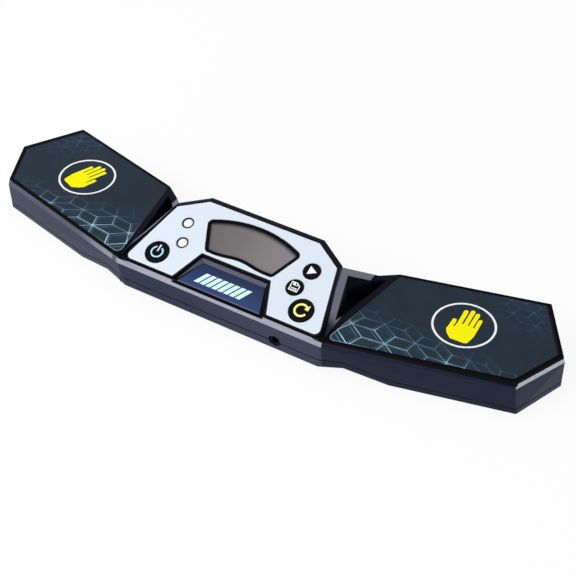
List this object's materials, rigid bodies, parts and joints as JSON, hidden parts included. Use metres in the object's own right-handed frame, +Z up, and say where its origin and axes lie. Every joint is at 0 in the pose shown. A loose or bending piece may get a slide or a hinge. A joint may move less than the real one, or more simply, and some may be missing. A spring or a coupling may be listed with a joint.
{
  "type": "speed cube timer",
  "caption": "Two-handed stopwatch for timing puzzle solves: a sloping display console with push keys between two swept-back touch pads.",
  "frame": {"origin": "centre of the bounding box on the surface that the feet stand on", "axes": "+X along the length towards the right pad, +Y from the front to the back, +Z up"},
  "size_m": [0.29, 0.0728, 0.0337],
  "materials": {
    "case": "satin",
    "cover": "satin",
    "panel": "gloss",
    "black_trim": "gloss",
    "window": "clear",
    "display": "grey",
    "badge": "satin",
    "keys": "satin",
    "lights": "milky",
    "pad_film": "printed",
    "sensor_metal": "rolled",
    "board": "lacquered",
    "chips": "matte",
    "switches": "plain",
    "rubber": "matte",
    "leads": "insulated",
    "cells": "gloss",
    "contacts": "nickel",
    "screws": "zinc"
  },
  "bodies": {
    "case": {"upper_case": "case", "base_case": "case", "console_panel": "panel", "display_frame": "black_trim", "display_window": "window", "display_glass": "display", "display_connector": "rubber", "badge_panel": "badge", "switch_bodies": "switches", "upper_light": "lights", "lower_light": "lights", "light_sleeves": "black_trim", "main_board": "board", "timer_chip": "chips", "clock_crystal": "switches", "data_jack": "black_trim", "jack_leads": "leads", "left_pad_film": "pad_film", "right_pad_film": "pad_film", "left_sensor_plate": "sensor_metal", "right_sensor_plate": "sensor_metal", "left_sensor_lead": "leads", "right_sensor_lead": "leads", "front_cell": "cells", "rear_cell": "cells", "battery_contacts": "contacts", "contact_springs": "contacts", "battery_leads": "leads", "case_screws": "screws", "board_screws": "screws", "rubber_feet": "rubber"},
    "power_button": {"power_key": "keys", "power_plunger": "chips"},
    "reset_button": {"reset_key": "keys", "reset_plunger": "chips"},
    "up_button": {"up_key": "keys", "up_plunger": "chips"},
    "save_button": {"save_key": "keys", "save_plunger": "chips"},
    "cover": {"battery_cover": "cover"}
  },
  "joints": [
    {"name": "power_press", "type": "slide", "parent": "case", "child": "power_button", "axis": [0, 0.3469, -0.9379], "range_m": [0, 0.0005], "stiffness_N_per_m": 1000, "springref_m": -0.0002},
    {"name": "reset_press", "type": "slide", "parent": "case", "child": "reset_button", "axis": [0, 0.3469, -0.9379], "range_m": [0, 0.0005], "stiffness_N_per_m": 1000, "springref_m": -0.0002},
    {"name": "up_press", "type": "slide", "parent": "case", "child": "up_button", "axis": [0, 0.3469, -0.9379], "range_m": [0, 0.0005], "stiffness_N_per_m": 1000, "springref_m": -0.0002},
    {"name": "save_press", "type": "slide", "parent": "case", "child": "save_button", "axis": [0, 0.3469, -0.9379], "range_m": [0, 0.0005], "stiffness_N_per_m": 1000, "springref_m": -0.0002},
    {"name": "cover_slide", "type": "slide", "parent": "case", "child": "cover", "axis": [0, 1, 0], "range_m": [0, 0.026]}
  ]
}
